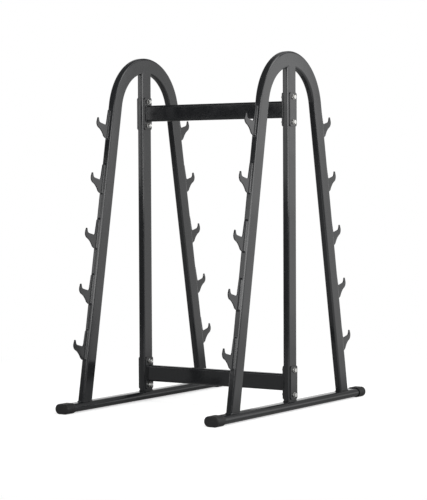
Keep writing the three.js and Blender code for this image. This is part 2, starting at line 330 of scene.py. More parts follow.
def rows_of_points(name, rows, closed=False):
    """An object of points joined in rows by edges."""
    points = [point for row in rows for point in row]
    edges = []
    first = 0
    for row in rows:
        edges += [(first + step, first + step + 1) for step in range(len(row) - 1)]
        if closed:
            edges.append((first + len(row) - 1, first))
        first += len(row)
    mesh = bpy.data.meshes.new(name)
    mesh.from_pydata(points, edges, [])
    return new_object(name, mesh)


def plain_mesh(source):
    """What an object's modifiers make of it, as a plain mesh. The object itself is removed."""
    depsgraph = bpy.context.evaluated_depsgraph_get()
    mesh = bpy.data.meshes.new_from_object(source.evaluated_get(depsgraph), depsgraph=depsgraph)
    bpy.data.objects.remove(source)
    return mesh


def grow(source, tree, **sizes):
    """Runs a tree on an object and returns the mesh that it makes."""
    modifier = source.modifiers.new(tree.name, "NODES")
    modifier.node_group = tree
    for socket in tree.interface.items_tree:
        if socket.in_out == "INPUT" and socket.name in sizes:
            modifier[socket.identifier] = sizes[socket.name]
    return plain_mesh(source)


print("trees ready for", bpy.app.version_string)


# %% [markdown]
# The tree takes the path, the tube's sizes and its finish. The inner section is smaller than the outer one
# by the wall all round. Both are held to one direction on their way, so the tube can't twist in a bend.

# %% The tube tree
CORNER_STEPS = 8


def section(tree, width, height, corner):
    """A rectangle with round corners, drawn by nodes."""
    box = add_node(tree, "GeometryNodeCurvePrimitiveQuadrilateral", {"Width": width, "Height": height})
    return add_node(tree, "GeometryNodeFilletCurve", {
        "Curve": box.outputs[0], "Count": CORNER_STEPS, "Radius": corner}, mode="POLY").outputs[0]


def tube_tree():
    tree, inputs = start_tree("tube_along_a_path", Width="Float", Height="Float", Corner="Float",
                              Wall="Float", BendRadius="Float", BendSteps="Int", Side="Vector",
                              Finish="Material")
    line = add_node(tree, "GeometryNodeMeshToCurve", {"Mesh": inputs["Geometry"]})
    bent = add_node(tree, "GeometryNodeFilletCurve", {
        "Curve": line.outputs[0], "Count": inputs["BendSteps"], "Radius": inputs["BendRadius"]}, mode="POLY")
    held = add_node(tree, "GeometryNodeSetCurveNormal", {
        "Curve": bent.outputs[0], "Normal": inputs["Side"]}, mode="FREE")
    outer = section(tree, inputs["Width"], inputs["Height"], inputs["Corner"])
    less = {name: add_node(tree, "ShaderNodeMath", {0: inputs["Wall"], 1: walls, 2: inputs[name]},
                           operation="MULTIPLY_ADD").outputs[0]
            for name, walls in (("Width", -2), ("Height", -2), ("Corner", -1))}
    inner = section(tree, less["Width"], less["Height"], less["Corner"])
    skin = add_node(tree, "GeometryNodeCurveToMesh", {"Curve": held.outputs[0], "Profile Curve": outer})
    lining = add_node(tree, "GeometryNodeCurveToMesh", {"Curve": held.outputs[0], "Profile Curve": inner})
    turned = add_node(tree, "GeometryNodeFlipFaces", {"Mesh": lining.outputs[0]})
    both = add_node(tree, "GeometryNodeJoinGeometry", {"Geometry": skin.outputs[0]})
    tree.links.new(turned.outputs[0], both.inputs[0])
    end_tree(tree, both.outputs[0], inputs["Finish"])
    return tree


TUBE_TREE = tube_tree()
print("tube tree:", len(TUBE_TREE.nodes), "nodes")


# %% [markdown]
# ## Cutting and closing the ends
#
# A swept tube has two open skins. Sawing it is a plane cut, and joining the two cut edges gives the ring of
# bare steel at its end, so the finished tube is one closed body like the real one. Corners of 11 mm are
# smooth, the flat sides must stay flat, and a Weighted Normal modifier does both: it lets the large faces
# decide the shading. The volume is printed as a check, and its sign says that the faces point outwards.

# %% Helpers that saw tubes and finish meshes
MERGE_DISTANCE = mm(0.001)
SHARP_ANGLE = math.radians(32)


def edit(mesh):
    """Opens a mesh for editing, with the points that lie on each other merged."""
    body = bmesh.new()
    body.from_mesh(mesh)
    bmesh.ops.remove_doubles(body, verts=body.verts, dist=MERGE_DISTANCE)
    return body


def saw(body, point, outward, half=Vector((0, 0, 0))):
    """Cuts a tube off at a plane, on one half of the rack if half is given, and closes its end."""
    faces = [face for face in body.faces if face.calc_center_median().dot(half) >= 0]
    # A dict keeps the parts in order, which a set doesn't, so every run gives the same mesh.
    region = dict.fromkeys(part for face in faces for part in (face, *face.edges, *face.verts))
    cut = bmesh.ops.bisect_plane(body, geom=list(region), plane_co=point, plane_no=outward, clear_outer=True)
    rim = [edge for edge in cut["geom_cut"] if isinstance(edge, bmesh.types.BMEdge)]
    bmesh.ops.bridge_loops(body, edges=rim)


def keep(body, name, finish):
    """Stores a closed body as a piece: round parts shaded smooth, flat ones kept flat, with its finish."""
    volume = body.calc_volume(signed=True)
    if volume < 0:
        bmesh.ops.reverse_faces(body, faces=body.faces)
    open_edges = sum(not edge.is_manifold for edge in body.edges)
    mesh = bpy.data.meshes.new(name)
    body.to_mesh(mesh)
    body.free()
    mesh.materials.clear()
    mesh.materials.append(finish)
    mesh.shade_smooth()
    mesh.set_sharp_from_angle(angle=SHARP_ANGLE)
    piece = new_object(name, mesh)
    weighted = piece.modifiers.new("flat_faces", "WEIGHTED_NORMAL")
    weighted.keep_sharp = True
    print(name, "faces", len(mesh.polygons), "open edges", open_edges, "litres", round(volume * 1000, 4))
    return piece


print("edges sharper than", round(math.degrees(SHARP_ANGLE)), "degrees stay sharp")


# %% [markdown]
# ## Legs and arch
#
# Each side frame is one length of 76 x 35 mm tube, bent over a former to a 245 mm radius, with legs that
# spread 10 degrees. The path has only three points: the two feet and the place high above the arch where
# the lines of the two legs would meet. Rounding that one corner with the bend's radius gives the arch
# exactly where the real bender makes it. The feet run past the floor and are then sawn off level.

# %% Bend the two frame tubes
ARCH_STEPS = 96
RUN_PAST = mm(60)


def frame_tube(name, side):
    across = side * FRAME_SPACING / 2
    peak = ARCH_CENTRE + ARCH_RADIUS / math.sin(LEG_TILT)
    spread = (peak + RUN_PAST) * math.tan(LEG_TILT)
    path = [(across, -spread, -RUN_PAST), (across, 0, peak), (across, spread, -RUN_PAST)]
    mesh = grow(rows_of_points(name, [path]), TUBE_TREE, Width=TUBE_DEPTH, Height=TUBE_WIDTH,
                Corner=TUBE_CORNER, Wall=WALL, BendRadius=ARCH_RADIUS, BendSteps=ARCH_STEPS,
                Side=(1, 0, 0), Finish=POWDER_COAT)
    body = edit(mesh)
    for face in FACES.values():
        saw(body, Vector((across, 0, FOOT_LEVEL)), Vector((0, 0, -1)), half=Vector((0, face, 0)))
    return keep(body, name, POWDER_COAT)


frame_tubes = {name: frame_tube(name + "_frame_tube", side) for name, side in SIDES.items()}

# %% [markdown]
# ## Centre posts
#
# A post of the same tube stands in the middle of each side frame and carries the crossbeams. Its top is
# coped: cut to the curve of the arch it is welded into. Cutting that curve with another solid would work,
# but it is simpler to lift every point of the top edge until it meets the circle above it. Near its sides
# the top climbs on into the round corner of the arch, so the two tubes lie flush as they do in the
# photograph. The post is drilled through for the joint bolts.

# %% Helper that drills holes
BOLT_SPACING = mm(118)
BOLT_HOLE = mm(6.5)
DRILL_STEPS = 32


def bolt_heights(level):
    return [level - BOLT_SPACING / 2, level + BOLT_SPACING / 2]


def drill(body, name, places, radius, axis, depth):
    """Drills round holes through a closed body, each centred on its place along an axis."""
    bits = bmesh.new()
    for place in places:
        turn = Vector(axis).to_track_quat("Z", "Y").to_matrix().to_4x4()
        bmesh.ops.create_cone(bits, cap_ends=True, segments=DRILL_STEPS, radius1=radius, radius2=radius,
                              depth=depth, matrix=Matrix.Translation(place) @ turn)
    bit_mesh = bpy.data.meshes.new(name + "_bits")
    bits.to_mesh(bit_mesh)
    bits.free()
    bit = new_object(name + "_bits", bit_mesh)
    mesh = bpy.data.meshes.new(name + "_blank")
    body.to_mesh(mesh)
    body.free()
    blank = new_object(name + "_blank", mesh)
    cut = blank.modifiers.new("holes", "BOOLEAN")
    cut.operation = "DIFFERENCE"
    cut.solver = "EXACT"
    cut.object = bit
    drilled = plain_mesh(blank)
    bpy.data.objects.remove(bit)
    return edit(drilled)


print("bolt holes of the lower beam:", [round(height, 4) for height in bolt_heights(BEAM_LEVELS["lower"])])


# %% Make the posts
POST_REACH = ARCH_RADIUS - TUBE_WIDTH / 2 - SEAT_GAP
TOP_CUTS = 9


def notch(across):
    """How far the arch's round corner draws back from a post, at a distance from the frame's middle."""
    left = TUBE_CORNER - (TUBE_DEPTH / 2 - abs(across))
    if left < 0:
        return 0
    return TUBE_CORNER - math.sqrt(max(0, TUBE_CORNER ** 2 - left ** 2))


def centre_post(name, side):
    across = side * FRAME_SPACING / 2
    path = [(across, 0, 0), (across, 0, ARCH_CENTRE)]
    mesh = grow(rows_of_points(name, [path]), TUBE_TREE, Width=TUBE_DEPTH, Height=TUBE_WIDTH,
                Corner=TUBE_CORNER, Wall=WALL, BendSteps=1, Side=(1, 0, 0), Finish=POWDER_COAT)
    body = edit(mesh)
    saw(body, Vector((across, 0, FOOT_LEVEL)), Vector((0, 0, -1)))
    top_edge = [edge for edge in body.edges if edge.is_boundary]
    flats = [edge for edge in top_edge if edge.calc_length() > TUBE_CORNER]
    bmesh.ops.subdivide_edges(body, edges=flats, cuts=TOP_CUTS)
    top_edge = [edge for edge in body.edges if edge.is_boundary]
    for point in {point for edge in top_edge for point in edge.verts}:
        reach = POST_REACH + notch(point.co.x - across)
        point.co.z = ARCH_CENTRE + math.sqrt(reach ** 2 - point.co.y ** 2)
    bmesh.ops.bridge_loops(body, edges=top_edge)
    bolts = [Vector((across, 0, height))
             for level in BEAM_LEVELS.values() for height in bolt_heights(level)]
    body = drill(body, name, bolts, BOLT_HOLE, (1, 0, 0), 2 * TUBE_DEPTH)
    return keep(body, name, POWDER_COAT)


centre_posts = {name: centre_post(name + "_centre_post", side) for name, side in SIDES.items()}

# %% [markdown]
# ## Floor tubes
#
# Each frame stands on a flat oval tube, 70 x 40 mm, which the same tree makes when its corners are half as
# large as the tube is high. They stay a hair smaller, so that two corners never meet in one point. A small
# hole in the top lets hot gas out while the rack is welded. It is a real hole, through the upper wall only.

# %% Make the floor tubes
VENT_RADIUS = mm(4)
VENT_PLACE = mm(310)
CORNER_ROOM = mm(0.005)


def floor_tube(name, side):
    across = side * FRAME_SPACING / 2
    path = [(across, end * BASE_LENGTH, BASE_MIDDLE) for end in FACES.values()]
    mesh = grow(rows_of_points(name, [path]), TUBE_TREE, Width=BASE_WIDTH, Height=BASE_HEIGHT,
                Corner=BASE_HEIGHT / 2 - CORNER_ROOM, Wall=WALL, BendSteps=1, Side=(1, 0, 0),
                Finish=POWDER_COAT)
    body = edit(mesh)
    for end in FACES.values():
        saw(body, Vector((across, end * BASE_LENGTH / 2, BASE_MIDDLE)), Vector((0, end, 0)))
    vent = Vector((across, VENT_PLACE, BASE_TOP))
    body = drill(body, name, [vent], VENT_RADIUS, (0, 0, 1), BASE_HEIGHT / 2)
    return keep(body, name, POWDER_COAT)


floor_tubes = {name: floor_tube(name + "_floor_tube", side) for name, side in SIDES.items()}

# %% [markdown]
# ## Crossbeams
#
# Two 80 x 40 mm beams run between the frames. They end at their flange plates, so they are sawn square.

# %% Make the beams
BEAM_HEIGHT = mm(80)
BEAM_DEPTH = mm(40)
BEAM_CORNER = mm(10)
PLATE_THICKNESS = mm(6)
FASTENER_SEAT = TUBE_DEPTH / 2 + SEAT_GAP + PLATE_THICKNESS + SEAT_GAP
BEAM_LENGTH = FRAME_SPACING - 2 * FASTENER_SEAT


def crossbeam(name, level):
    path = [(side * BEAM_LENGTH, 0, level) for side in SIDES.values()]
    mesh = grow(rows_of_points(name, [path]), TUBE_TREE, Width=BEAM_DEPTH, Height=BEAM_HEIGHT,
                Corner=BEAM_CORNER, Wall=WALL, BendSteps=1, Side=(0, 1, 0), Finish=POWDER_COAT)
    body = edit(mesh)
    for side in SIDES.values():
        saw(body, Vector((side * BEAM_LENGTH / 2, 0, level)), Vector((side, 0, 0)))
    return keep(body, name, POWDER_COAT)


crossbeams = {name: crossbeam(name + "_beam", level) for name, level in BEAM_LEVELS.items()}

# %% [markdown]
# ## Rubber boots
#
# A boot is a moulded cap pushed over each end of a floor tube. A mould half this simple is drawn as a row
# of cross-sections, so the boot is lofted: flat oval rings run from the bottom of its pocket out to the
# mouth, round the mouth's lip, back along the outside and over the rounded closed end.

# %% Helpers that draw rings and loft them
BOOT_LENGTH = mm(62)
BOOT_WALL = mm(4)
BOOT_END = mm(8)
BOOT_EDGE = mm(5)
BOOT_EDGE_STEPS = 8
BOOT_LIP = mm(1.2)
BOOT_LIP_STEPS = 4
RING_POINTS = 64


def quarter_turn(steps):
    """Even angles from 0 to 90 degrees, in radians."""
    return [math.pi / 2 * step / steps for step in range(steps + 1)]


def flat_oval(width, height):
    """Points round a flat oval, starting at its right end."""
    radius = height / 2
    straight = width / 2 - radius
    points = []
    for step in range(RING_POINTS):
        angle = 2 * math.pi * (step + 0.5) / RING_POINTS
        shift = math.copysign(straight, math.cos(angle))
        points.append((shift + radius * math.cos(angle), radius * math.sin(angle)))
    return points


def loft(rings, ring_shaped=False):
    """Joins rings of points into one skin, closed by caps, or by joining the last ring to the first."""
    body = bmesh.new()
    rows = [[body.verts.new(point) for point in ring] for ring in rings]
    pairs = list(zip(rows, rows[1:]))
    if ring_shaped:
        pairs.append((rows[-1], rows[0]))
    else:
        body.faces.new(reversed(rows[0]))
        body.faces.new(rows[-1])
    for low, high in pairs:
        for step, start in enumerate(low):
            after = (step + 1) % len(low)
            body.faces.new((start, low[after], high[after], high[step]))
    return body


print("ring round the floor tube:", len(flat_oval(BASE_WIDTH, BASE_HEIGHT)), "points")


# %% Loft the boots
def boot_profile():
    """(growth of the flat oval past the floor tube, distance from the closed face) along the boot."""
    outer = SEAT_GAP + BOOT_WALL
    profile = [(SEAT_GAP, BOOT_END), (SEAT_GAP, BOOT_LENGTH - BOOT_LIP)]
    for angle in quarter_turn(BOOT_LIP_STEPS):
        growth = outer - BOOT_LIP + BOOT_LIP * math.sin(angle)
        profile.append((growth, BOOT_LENGTH - BOOT_LIP * (1 - math.cos(angle))))
    for angle in quarter_turn(BOOT_EDGE_STEPS):
        profile.append((outer - BOOT_EDGE * (1 - math.cos(angle)), BOOT_EDGE * (1 - math.sin(angle))))
    return profile


def boot(name, side, face):
    closed_face = BASE_LENGTH / 2 + SEAT_GAP + BOOT_END
    rings = []
    for growth, depth in boot_profile():
        oval = flat_oval(BASE_WIDTH + 2 * growth, BASE_HEIGHT + 2 * growth)
        rings.append([(side * FRAME_SPACING / 2 + x, face * (closed_face - depth), BASE_MIDDLE + z)
                      for x, z in oval])
    return keep(loft(rings), name, RUBBER)


boots = {name: boot(name + "_end_boot", side, face) for name, (side, face) in LEGS.items()}

# %% [markdown]
# ## Plates cut from sheet
#
# The joint plates and the hooks are cut from 6 mm sheet with a laser, and their edges are broken before
# painting. Blender's 2D curves are made for this: a drawing is filled, given a thickness and a small
# rounded edge, and holes are simply further outlines inside the first. The drawing is then turned upright,
# into the plane of a side frame, and used as a mesh.

# %% Helper that cuts a plate, and the joint plate itself
EDGE_BREAK = mm(0.6)
PLATE_WIDTH = mm(60)
PLATE_HEIGHT = mm(160)
PLATE_CORNER = mm(10)
PLATE_CORNER_STEPS = 8
UPRIGHT = Matrix(((0, 0, 1, 0), (1, 0, 0, 0), (0, 1, 0, 0), (0, 0, 0, 1)))


def arc(centre, radius, start, end, steps):
    """Points on an arc, in metres and degrees."""
    angles = [math.radians(start + (end - start) * step / steps) for step in range(steps + 1)]
    return [(centre[0] + radius * math.cos(a), centre[1] + radius * math.sin(a)) for a in angles]


def cut_plate(name, outlines, thickness):
    """A sheet cut to its outlines (Y across, Z up), with broken edges, centred on x = 0."""
    drawing = bpy.data.curves.new(name, "CURVE")
    drawing.dimensions = "2D"
    drawing.fill_mode = "BOTH"
    drawing.extrude = thickness / 2 - EDGE_BREAK
    drawing.bevel_depth = EDGE_BREAK
    drawing.bevel_resolution = 1
    drawing.offset = -EDGE_BREAK
    for outline in outlines:
        spline = drawing.splines.new("POLY")
        spline.points.add(len(outline) - 1)
        for point, place in zip(spline.points, outline):
            point.co = (*place, 0, 1)
        spline.use_cyclic_u = True
    body = edit(plain_mesh(new_object(name, drawing)))
    body.transform(UPRIGHT)
    return body


def rounded_box(width, height, corner, steps):
    """Outline of a rectangle with round corners, centred on zero."""
    outline = []
    for number, (right, up) in enumerate(((1, 1), (-1, 1), (-1, -1), (1, -1))):
        centre = (right * (width / 2 - corner), up * (height / 2 - corner))
        outline += arc(centre, corner, 90 * number, 90 * number + 90, steps)
    return outline


plate_outlines = [rounded_box(PLATE_WIDTH, PLATE_HEIGHT, PLATE_CORNER, PLATE_CORNER_STEPS)]
for height in bolt_heights(0):
    plate_outlines.append(arc((0, height), BOLT_HOLE, 0, 360 - 360 / DRILL_STEPS, DRILL_STEPS - 1))
plate_master = keep(cut_plate("plate_master", plate_outlines, PLATE_THICKNESS), "plate_master", POWDER_COAT)

# %% [markdown]
# ## Placing copies
#
# Plates, bolts, nuts and hooks repeat. Each is made once, as a master, and a second tree sets copies of it
# on a row of points. Every point carries its own turn as an attribute, so one tree serves a hook that
# faces back and a bolt that points out. The copies are made real and the master is removed at the end.

# %% The copying tree
def copying_tree():
    tree, inputs = start_tree("copies_on_points", Master="Object", Finish="Material")
    master = add_node(tree, "GeometryNodeObjectInfo", {"Object": inputs["Master"], "As Instance": True})
    turn = add_node(tree, "GeometryNodeInputNamedAttribute", {"Name": "turn"}, data_type="FLOAT_VECTOR")
    rotation = add_node(tree, "FunctionNodeEulerToRotation", {"Euler": turn.outputs["Attribute"]})
    copies = add_node(tree, "GeometryNodeInstanceOnPoints", {
        "Points": inputs["Geometry"], "Instance": master.outputs["Geometry"],
        "Rotation": rotation.outputs[0]})
    end_tree(tree, copies.outputs[0], inputs["Finish"])
    return tree


COPYING_TREE = copying_tree()
print("copying tree:", len(COPYING_TREE.nodes), "nodes")


def set_copies(name, master, places, finish):
    """Sets a copy of the master at each (place, turn) and returns them as one piece."""
    points = rows_of_points(name, [[place] for place, turn in places])
    turns = points.data.attributes.new("turn", "FLOAT_VECTOR", "POINT")
    for entry, (place, turn) in zip(turns.data, places):
        entry.vector = turn
    mesh = grow(points, COPYING_TREE, Master=master, Finish=finish)
    return keep(edit(mesh), name, finish)


# %% [markdown]
# A beam's flange plate lies on the inner face of a post and a backing plate of the same form on its outer
# face, so each post is clamped between two plates at both beams.

# %% Bolt a plate to each face of the posts
PLATE_OFFSET = TUBE_DEPTH / 2 + SEAT_GAP + PLATE_THICKNESS / 2

plates = {}
for side_name, side in SIDES.items():
    for level_name, level in BEAM_LEVELS.items():
        for kind, way in (("flange_plate", -1), ("backing_plate", 1)):
            place = (side * (FRAME_SPACING / 2 + way * PLATE_OFFSET), 0, level)
            name = f"{side_name}_{level_name}_{kind}"
            plates[name] = set_copies(name + "_cut", plate_master, [(place, (0, 0, 0))], POWDER_COAT)

# %% [markdown]
# ## Hooks
#
# A hook is a curved plate: a spine along the leg, a cradle whose floor falls towards the leg, a slim horn
# that keeps the bar in, and a heel that sweeps back to the leg in one long curve. Its outline is drawn
# from the same sizes as the measured solid but with more points on each curve. x runs out from the leg
# and y up from the tip of the horn. The heel is an arc between two angles, counted in degrees.

# %% A hook's sizes, and helpers that draw its curves
HOOK_THICKNESS = mm(6)
HOOK_REACH = mm(91)
HOOK_RISE = mm(37)
HOOK_DROP = mm(100)
SPINE_TOP = mm(16)
SPINE_WIDTH = mm(19)
CRADLE_DEPTH = mm(36.5)
CRADLE_TILT = math.radians(14)
CRADLE_RADIUS = mm(11)
CRADLE_STEPS = 8
HORN_INSET = mm(7.5)
TIP_RADIUS = mm(4.4)
TIP_STEPS = 12
HEEL_BULGE = mm(11)
HEEL_DEPTH = mm(26)
HEEL_RADIUS = mm(26.5)
HEEL_START = 27
HEEL_END = -64
HEEL_STEPS = 16
UNDERSIDE_EASE_SHARE = 0.47
FOOT_WIDTH = mm(17)
FOOT_LIP_WIDTH = mm(13)
FOOT_LIP_HEIGHT = mm(9)


def hook_root(up):
    """Where the leg's leaning face is, level with a point of the hook."""
    return SEAT_GAP / math.cos(LEG_TILT) - up * math.tan(LEG_TILT)


def eased(start, corner, end, steps):
    """Points on a curve that leaves start and reaches end in line with the corner between them."""
    shares = [step / steps for step in range(steps + 1)]
    return [tuple(start.lerp(corner, t).lerp(corner.lerp(end, t), t)) for t in shares]


def round_off(before, corner, after, radius, steps):
    """A corner between two lines, turned into a curve."""
    start = corner + (before - corner).normalized() * radius
    end = corner + (after - corner).normalized() * radius
    return eased(start, corner, end, steps)


print("hook height:", round(1000 * (HOOK_RISE + HOOK_DROP)), "mm, reach:", round(1000 * HOOK_REACH), "mm")


# %% Draw a hook
def hook_outline():
    """The hook from the top of its spine, round the cradle, horn and heel, and back to the leg."""
    spine_top = Vector((hook_root(HOOK_RISE) + SPINE_TOP, HOOK_RISE))
    slope = (SPINE_WIDTH - spine_top.x) / HOOK_RISE
    cradle_inner = Vector((SPINE_WIDTH + CRADLE_DEPTH * slope, -CRADLE_DEPTH))
    rise = (HOOK_REACH - HORN_INSET - cradle_inner.x) * math.tan(CRADLE_TILT)
    cradle_outer = Vector((HOOK_REACH - HORN_INSET, rise - CRADLE_DEPTH))
    tip_inner = Vector((HOOK_REACH - TIP_RADIUS, -TIP_RADIUS))
    heel_centre = (HOOK_REACH + HEEL_BULGE - HEEL_RADIUS, -HEEL_DEPTH)
    heel = arc(heel_centre, HEEL_RADIUS, HEEL_START, HEEL_END, HEEL_STEPS)
    foot = Vector((hook_root(-HOOK_DROP) + FOOT_WIDTH, -HOOK_DROP))
    lip = foot + Vector((FOOT_LIP_WIDTH, FOOT_LIP_HEIGHT))
    heel_end = Vector(heel[-1])
    heading = Vector((math.sin(math.radians(HEEL_END)), -math.cos(math.radians(HEEL_END))))
    ease = heel_end + heading * (heel_end - lip).length * UNDERSIDE_EASE_SHARE
    return [
        (hook_root(HOOK_RISE), HOOK_RISE), tuple(spine_top),
        *round_off(spine_top, cradle_inner, cradle_outer, CRADLE_RADIUS, CRADLE_STEPS),
        *round_off(cradle_inner, cradle_outer, tip_inner, CRADLE_RADIUS, CRADLE_STEPS),
        *arc((HOOK_REACH, -TIP_RADIUS), TIP_RADIUS, 180, 0, TIP_STEPS),
        *heel, *eased(heel_end, ease, lip, HEEL_STEPS)[1:],
        tuple(foot), (hook_root(-HOOK_DROP), -HOOK_DROP)]


hook_master = keep(cut_plate("hook_master", [hook_outline()], HOOK_THICKNESS), "hook_master", POWDER_COAT)

# %% [markdown]
# The hooks of a leg are evenly spaced, and the highest is just below the start of the arch. Those at the
# front are turned half round, not mirrored, so that no copy is inside out.

# %% Weld five hooks up the outside of each leg
HOOK_COUNT = 5
LOWEST_TIP = mm(344)
HIGHEST_TIP_DROP = mm(18)
HIGHEST_TIP = ARCH_CENTRE - HIGHEST_TIP_DROP
HOOK_PITCH = (HIGHEST_TIP - LOWEST_TIP) / (HOOK_COUNT - 1)
tip_heights = [LOWEST_TIP + number * HOOK_PITCH for number in range(HOOK_COUNT)]


def hook_places(side, face):
    """The place and turn of each hook on a leg."""
    turn = (0, 0, 0 if face > 0 else math.pi)
    return [((side * FRAME_SPACING / 2, face * leg_face(tip), tip), turn) for tip in tip_heights]


hook_rows = {}
for leg, (side, face) in LEGS.items():
    places = hook_places(side, face)
    hook_rows[leg + "_hook"] = set_copies(leg + "_hook_row", hook_master, places, POWDER_COAT)

# %% [markdown]
# ## Bolts and nuts
#
# M12 bolts go through the plates and the post, with a nut on the beam's side. Their forms are turned, so
# they are rings again: a round ring for shank and washer, and a ring that follows the hexagon for the
# head. The chamfer of a real head is a cone cut over the hexagon, which lowers only its corners and gives
# the curved line on each flat. The thread is a true spiral: each point's radius depends on its height and
# its angle together.

# %% Sizes of the bolt, the nut and the washer
BOLT_RADIUS = mm(6)
BOLT_TAIL = mm(5)
TAIL_INSET = mm(1.6)
TAIL_CHAMFER = mm(0.6)
ACROSS_FLATS = mm(19)
CROWN_SHARE = 0.96
CHAMFER_ANGLE = math.radians(30)
HEAD_HEIGHT = mm(7.5)
DISH_RIM = mm(6.2)
DISH_FLOOR = mm(5.6)
DISH_DEPTH = mm(0.35)
NUT_HEIGHT = mm(10)
BORE_CHAMFER = mm(0.9)
WASHER_RADIUS = mm(12)
WASHER_THICKNESS = mm(2.5)
WASHER_EDGE = mm(0.3)
THREAD_PITCH = mm(1.75)
THREAD_DEPTH = mm(1)
THREAD_RUNOUT = mm(0.8)
THREAD_STEPS = 6
TURN_STEPS = 48
BOLT_LENGTH = 2 * FASTENER_SEAT + WASHER_THICKNESS + NUT_HEIGHT + BOLT_TAIL
turn_angles = [2 * math.pi * step / TURN_STEPS for step in range(TURN_STEPS)]
print("bolts are", round(1000 * BOLT_LENGTH, 1), "mm long under the head")


# %% Helpers that draw the rings of a fastener
def ring(radius, height):
    """A round ring about the bolt's axis."""
    return [(radius * math.cos(a), radius * math.sin(a), height) for a in turn_angles]


def hexagon_radius(angle):
    """How far the hexagon's outline is from its middle, in one direction."""
    sixth = math.pi / 3
    return ACROSS_FLATS / 2 / math.cos((angle + sixth / 2) % sixth - sixth / 2)


def hexagon_ring(height, lowered_from=None):
    """A ring round the hexagon, or the edge where a cone from a smaller circle meets it."""
    points = []
    for angle in turn_angles:
        radius = hexagon_radius(angle)
        drop = 0 if lowered_from is None else (radius - lowered_from) * math.tan(CHAMFER_ANGLE)
        points.append((radius * math.cos(angle), radius * math.sin(angle), height - drop))
    return points


def thread_ring(height, depth):
    """A ring whose radius follows the thread's spiral."""
    points = []
    for angle in turn_angles:
        phase = (height / THREAD_PITCH - angle / (2 * math.pi)) % 1
        radius = BOLT_RADIUS - depth * abs(2 * phase - 1)
        points.append((radius * math.cos(angle), radius * math.sin(angle), height))
    return points


def washer_rings():
    face_radius = WASHER_RADIUS - WASHER_EDGE
    return [ring(face_radius, 0), ring(WASHER_RADIUS, WASHER_EDGE),
            ring(WASHER_RADIUS, WASHER_THICKNESS - WASHER_EDGE), ring(face_radius, WASHER_THICKNESS)]


def hexagon_rings(height):
    top = WASHER_THICKNESS + height
    crown = ACROSS_FLATS / 2 * CROWN_SHARE
    return [hexagon_ring(WASHER_THICKNESS), hexagon_ring(top, lowered_from=crown), ring(crown, top)]


print("across the corners:", round(2000 * hexagon_radius(math.pi / 6), 1), "mm")


# %% Turn the bolt and the nut
def bolt_body():
    """A bolt along Z with its washer's seat at z = 0 and its thread below."""
    threaded = BOLT_TAIL + NUT_HEIGHT + WASHER_THICKNESS
    thread_start = -BOLT_LENGTH + TAIL_CHAMFER
    head_top = WASHER_THICKNESS + HEAD_HEIGHT
    rings = [ring(BOLT_RADIUS - TAIL_INSET, -BOLT_LENGTH), ring(BOLT_RADIUS - THREAD_DEPTH, thread_start)]
    steps = round(threaded / THREAD_PITCH * THREAD_STEPS)
    for step in range(1, steps):
        ease = min(1, (steps - step) / THREAD_STEPS)
        rings.append(thread_ring(thread_start + threaded * step / steps, THREAD_DEPTH * ease))
    rings += [ring(BOLT_RADIUS, -BOLT_LENGTH + threaded + THREAD_RUNOUT), ring(BOLT_RADIUS, 0)]
    rings += washer_rings() + hexagon_rings(HEAD_HEIGHT)
    rings += [ring(DISH_RIM, head_top), ring(DISH_FLOOR, head_top - DISH_DEPTH)]
    return loft(rings)


def nut_body():
    """A nut on its washer, which sits at z = 0."""
    bore = BOLT_RADIUS + SEAT_GAP
    top = WASHER_THICKNESS + NUT_HEIGHT
    rings = [ring(bore, 0), *washer_rings(), *hexagon_rings(NUT_HEIGHT),
             ring(bore + BORE_CHAMFER, top), ring(bore, top - BORE_CHAMFER)]
    return loft(rings, ring_shaped=True)


bolt_master = keep(bolt_body(), "bolt_master", ZINC)
nut_master = keep(nut_body(), "nut_master", ZINC)

# %% [markdown]
# Nobody lines up the flats when tightening bolts, so each one is turned to its own angle. The angles come
# from a fixed list of golden-angle steps: they look random and are the same on every run.

# %% Set the bolts and nuts
GOLDEN_ANGLE = math.radians(137.5)
STEPS_BETWEEN_KINDS = 5


def fastener_turn(points_right, number):
    """Euler angles that lay a fastener along X and spin it about its own axis."""
    lay = Matrix.Rotation(math.pi / 2 if points_right else -math.pi / 2, 4, "Y")
    return tuple((lay @ Matrix.Rotation(GOLDEN_ANGLE * number, 4, "Z")).to_euler())


fasteners = {}
for side_name, side in SIDES.items():
    for kind, master, way in (("bolt", bolt_master, 1), ("nut", nut_master, -1)):
        places = []
        for level in BEAM_LEVELS.values():
            for height in bolt_heights(level):
                across = side * (FRAME_SPACING / 2 + way * FASTENER_SEAT)
                turn = fastener_turn(side * way > 0, len(places) + STEPS_BETWEEN_KINDS * way + side)
                places.append(((across, 0, height), turn))
        name = f"{side_name}_{kind}_set"
        fasteners[name] = set_copies(name, master, places, ZINC)

for master in (plate_master, hook_master, bolt_master, nut_master):
    bpy.data.objects.remove(master)

# %% [markdown]
# ## Weld beads
#
# Every steel joint of the frames is a weld: a rope of metal laid in the corner between two pieces, with
# small ripples where the melt froze. Modelling ripples by hand would take forever, and a bump map would
# leave the corner itself sharp. A tree follows any path, swells and pinches a round section at every
# ripple, and wanders a little in size, as a hand-laid weld does.
#
# Real ripples are about 1.5 mm apart. Here they are 4 mm, so that they still catch the light when the
# whole rack is in view.

# %% The weld tree
RIPPLE_STEPS = 3.0
BEAD_POINTS = 8
WANDER_LENGTH = mm(30)


